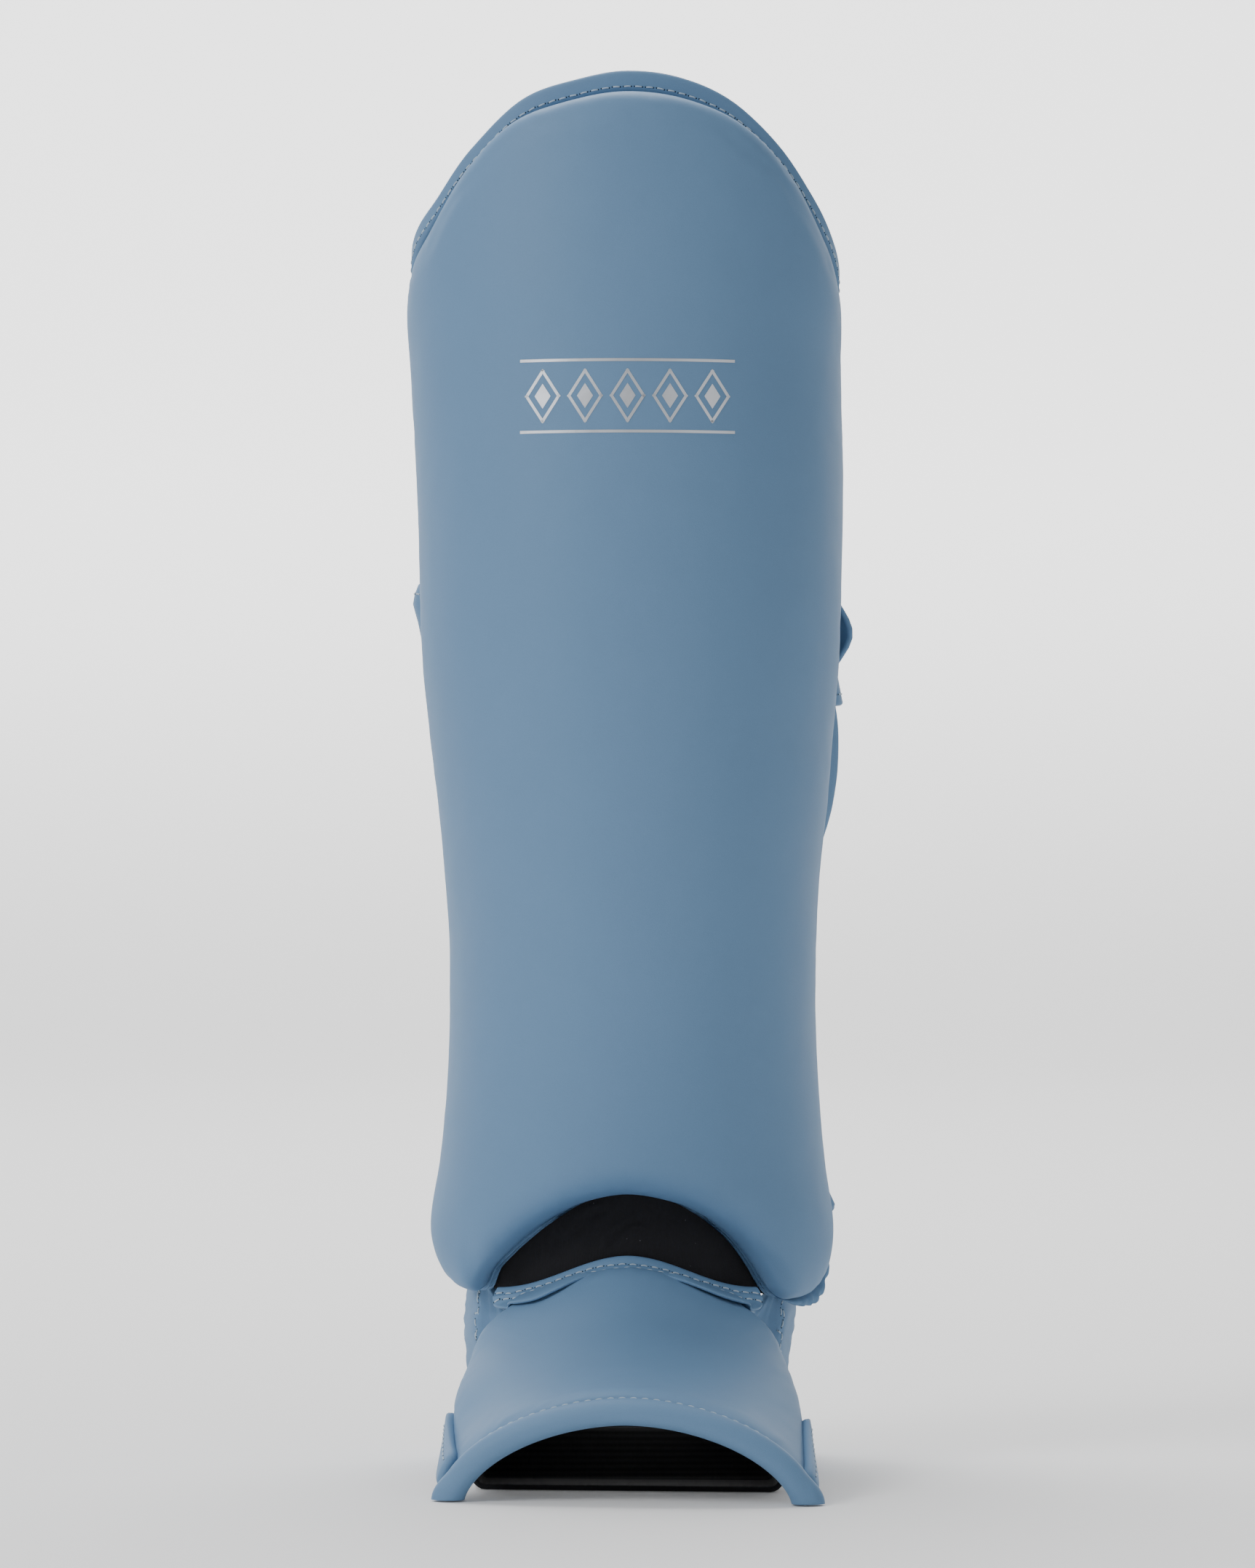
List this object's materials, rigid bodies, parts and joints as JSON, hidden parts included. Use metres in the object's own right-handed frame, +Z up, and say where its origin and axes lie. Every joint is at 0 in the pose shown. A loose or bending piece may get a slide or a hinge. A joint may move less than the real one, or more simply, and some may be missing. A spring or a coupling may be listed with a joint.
{
  "type": "shin and instep guard",
  "caption": "Kickboxing shin and instep guard: long domed foam shin pad with a stitched edge, arched ankle cut-out, saddle-shaped instep pad and two calf straps.",
  "frame": {"origin": "middle of the guard's bounding box at the floor it stands on", "axes": "+Z up the leg, -Y towards the front of the shin and the toes, +X to the right as seen from the front"},
  "size_m": [0.1606, 0.2456, 0.4923],
  "materials": {
    "cover_blue": "matt, fine-grained synthetic leather",
    "lining_black": "matt knitted lining",
    "elastic_black": "matt woven elastic",
    "foil_silver": "silver foil print"
  },
  "bodies": {
    "root": {"shin_pad": "cover_blue", "shin_border": "cover_blue", "leg_lining": "lining_black", "instep_pad": "cover_blue", "instep_top_binding": "cover_blue", "instep_rim": "cover_blue", "instep_lining": "lining_black", "foot_strap": "elastic_black", "heel_strap": "elastic_black", "ankle_side_left": "cover_blue", "ankle_side_right": "cover_blue", "foot_strap_tab_left": "cover_blue", "foot_strap_tab_right": "cover_blue", "calf_strap_upper": "cover_blue", "calf_strap_lower": "cover_blue"}
  },
  "joints": []
}
